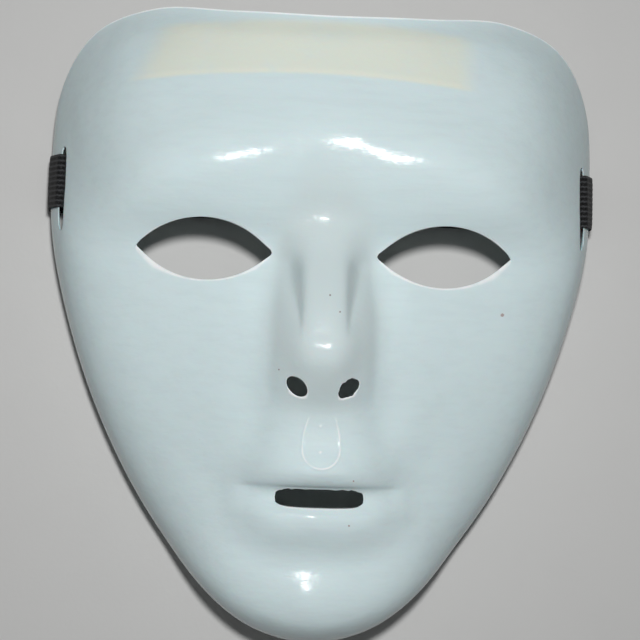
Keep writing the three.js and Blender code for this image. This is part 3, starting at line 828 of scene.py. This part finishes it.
# Between the ribs the yarn goes over and under, half a step on from one row to the next
rib_turn = calc(tree, "MULTIPLY", over, 2 * math.pi / RIB_PITCH)
rib = calc(tree, "MULTIPLY_ADD", calc(tree, "COSINE", rib_turn), 0.5, 0.5)
row = calc(tree, "FLOOR", calc(tree, "DIVIDE", over, RIB_PITCH / 2))
turned = calc(tree, "MULTIPLY_ADD", along, 2 * math.pi / PICK_PITCH, calc(tree, "MULTIPLY", row, math.pi))
picks = calc(tree, "MULTIPLY_ADD", calc(tree, "COSINE", turned), 0.5, 0.5)
fuzz = noise(tree, here, 5200.0, 2.0, 0.6)

# Each end is sewn down with a black zigzag over a few millimetres
swing = calc(tree, "PINGPONG", over, SEAM_SWING)
from_seam = calc(tree, "SUBTRACT", calc(tree, "SUBTRACT", along, SEAM_AT), swing)
thread = soft_step(tree, calc(tree, "ABSOLUTE", from_seam), 0.42, 0.2)
raised = calc(tree, "MULTIPLY_ADD", rib, 0.6, 0.4)
weave = calc(tree, "MULTIPLY", calc(tree, "MULTIPLY_ADD", picks, 0.55, 0.45), raised)
# The tops of the ribs are coloured lighter than the near-black gaps between them
lighter_picks = calc(tree, "MULTIPLY_ADD", picks, 0.5, 0.5)
ridge = calc(tree, "MULTIPLY", soft_step(tree, rib, 0.45, 0.95), lighter_picks)
colour = tinted(tree, ridge, (0.004, 0.004, 0.0045, 1), (0.060, 0.062, 0.066, 1))
colour = tinted(tree, soft_step(tree, fuzz, 0.56, 0.75), colour, (0.12, 0.125, 0.13, 1))
colour = tinted(tree, thread, colour, (0.035, 0.035, 0.038, 1))
colour = tinted(tree, calc(tree, "MULTIPLY", wear["Dust"], 0.5), colour, (0.4, 0.4, 0.39, 1))
tree.links.new(colour, surface.inputs["Base Color"])
tree.links.new(calc(tree, "MULTIPLY_ADD", fuzz, 0.2, 0.74), surface.inputs["Roughness"])
height = calc(tree, "ADD", calc(tree, "MULTIPLY", weave, 0.10), calc(tree, "MULTIPLY", fuzz, 0.05))
height = calc(tree, "ADD", height, calc(tree, "MULTIPLY", thread, 0.18))
tree.links.new(relief(tree, height), surface.inputs["Normal"])
strap_mesh.materials.append(woven)


# Forehead foam.
# A strip of soft cream foam, cut with a blade and stuck inside the forehead by its own adhesive.
FOAM = {"x": -7.3, "y": 86.0, "length": 100.0, "width": 17.0, "thickness": 2.6}
FOAM_GAP = 0.55
EDGE_SOFT = 0.7
strip = bmesh.new()
bmesh.ops.create_grid(strip, x_segments=150, y_segments=26, size=0.5)
under = {}
for vert in strip.verts:
    u, v = vert.co.x, vert.co.y
    # the blade didn't cut the two ends quite straight
    wander = 0.25 * math.sin(9 * v) * (1 if abs(u) > 0.45 else 0)
    x = FOAM["x"] + u * FOAM["length"] + wander
    y = FOAM["y"] + v * FOAM["width"]
    normal = Vector(face_normal(np.array(x), np.array(y)))
    z = float(face_height(np.array(x), np.array(y)))
    vert.co = Vector((x, y, z)) - normal * (SHEET + FOAM_GAP)
    near_end = (0.5 - abs(u)) * FOAM["length"]
    near_side = (0.5 - abs(v)) * FOAM["width"]
    rounding = 1 - 0.32 * math.exp(-min(near_end, near_side) / EDGE_SOFT)
    under[tuple(round(c, 4) for c in vert.co)] = normal * FOAM["thickness"] * rounding
grown = bmesh.ops.extrude_face_region(strip, geom=list(strip.faces), use_keep_orig=True)["geom"]
for vert in (g for g in grown if isinstance(g, bmesh.types.BMVert)):
    vert.co -= under[tuple(round(c, 4) for c in vert.co)]
bmesh.ops.recalc_face_normals(strip, faces=list(strip.faces))
bmesh.ops.scale(strip, vec=(0.001, 0.001, 0.001), verts=list(strip.verts))
for face in strip.faces:
    face.smooth = True
foam_mesh = bpy.data.meshes.new("foam")
strip.to_mesh(foam_mesh)
strip.free()
foam = bpy.data.objects.new("foam_strip", foam_mesh)
bpy.context.scene.collection.objects.link(foam)
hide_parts("forehead_foam")
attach(foam, "root")

cream, tree, surface, here = new_material("cream_foam", Subsurface_Weight=0.15, Subsurface_Scale=0.001)
wear = grouped(tree, settled, Coordinates=here)
cells = node(tree, "TexVoronoi", {"Vector": here, "Scale": 1500.0, "Randomness": 1.0}).outputs["Distance"]
pore_and_its_shade = soft_step(tree, cells, 0.42, 0.12)
yellowed = soft_step(tree, noise(tree, here, 45.0, 3.0, 0.6), 0.4, 0.7)
colour = tinted(tree, yellowed, (0.80, 0.75, 0.60, 1), (0.72, 0.63, 0.42, 1))
# The pores are coloured darker: painted shade in the pits
colour = tinted(tree, calc(tree, "MULTIPLY", pore_and_its_shade, 0.4), colour, (0.46, 0.40, 0.27, 1))
colour = tinted(tree, calc(tree, "MULTIPLY", wear["Dust"], 0.5), colour, (0.35, 0.34, 0.32, 1))
tree.links.new(colour, surface.inputs["Base Color"])
tree.links.new(calc(tree, "MULTIPLY_ADD", pore_and_its_shade, 0.05, 0.9), surface.inputs["Roughness"])
pits = calc(tree, "MULTIPLY", pore_and_its_shade, -0.16)
height = calc(tree, "ADD", pits, calc(tree, "MULTIPLY", wear["Tone"], 0.1))
tree.links.new(relief(tree, height), surface.inputs["Normal"])
foam_mesh.materials.append(cream)


# Floor and light.
# A plain pale table top, one small soft lamp just above the camera and a broad soft one over it.
TABLE_GAP = 0.0002
table_top = bmesh.new()
bmesh.ops.create_grid(table_top, x_segments=1, y_segments=1, size=3.0)
bmesh.ops.translate(table_top, vec=(0, 0, -TABLE_GAP), verts=list(table_top.verts))
table_mesh = bpy.data.meshes.new("table_top")
table_top.to_mesh(table_mesh)
table_top.free()
table = bpy.data.objects.new("table_top", table_mesh)
bpy.context.scene.collection.objects.link(table)
paint, tree, surface, here = new_material("pale_table")
wear = grouped(tree, settled, Coordinates=here)
tone = calc(tree, "MULTIPLY", wear["Tone"], 0.15, clamp=True)
colour = tinted(tree, tone, (0.66, 0.66, 0.65, 1), (0.58, 0.58, 0.575, 1))
tree.links.new(colour, surface.inputs["Base Color"])
tree.links.new(calc(tree, "MULTIPLY_ADD", wear["Tone"], 0.04, 0.7), surface.inputs["Roughness"])
height = calc(tree, "MULTIPLY", noise(tree, here, 700.0), 0.03)
tree.links.new(relief(tree, height), surface.inputs["Normal"])
table_mesh.materials.append(paint)


def soft_lamp(name, place, target, size, power):
    """A round lamp that faces its target."""
    lamp_data = bpy.data.lights.new(name, "AREA")
    lamp_data.shape = "DISK"
    lamp_data.size = size
    lamp_data.energy = power
    lamp = bpy.data.objects.new(name, lamp_data)
    bpy.context.scene.collection.objects.link(lamp)
    lamp.location = place
    lamp.rotation_euler = (Vector(target) - Vector(place)).to_track_quat("-Z", "Y").to_euler()


soft_lamp("lamp_by_the_camera", (-0.0113, 0.0754, 0.56), (0, 0, 0.03), 0.04, 2.08)
soft_lamp("broad_lamp", (0.0, 0.05, 1.6), (0, 0, 0), 1.4, 1.6)
world = bpy.data.worlds.new("room")
world.use_nodes = True
world.node_tree.nodes["Background"].inputs["Color"].default_value = (0.95, 0.98, 1.0, 1)
world.node_tree.nodes["Background"].inputs["Strength"].default_value = 0.02
bpy.context.scene.world = world
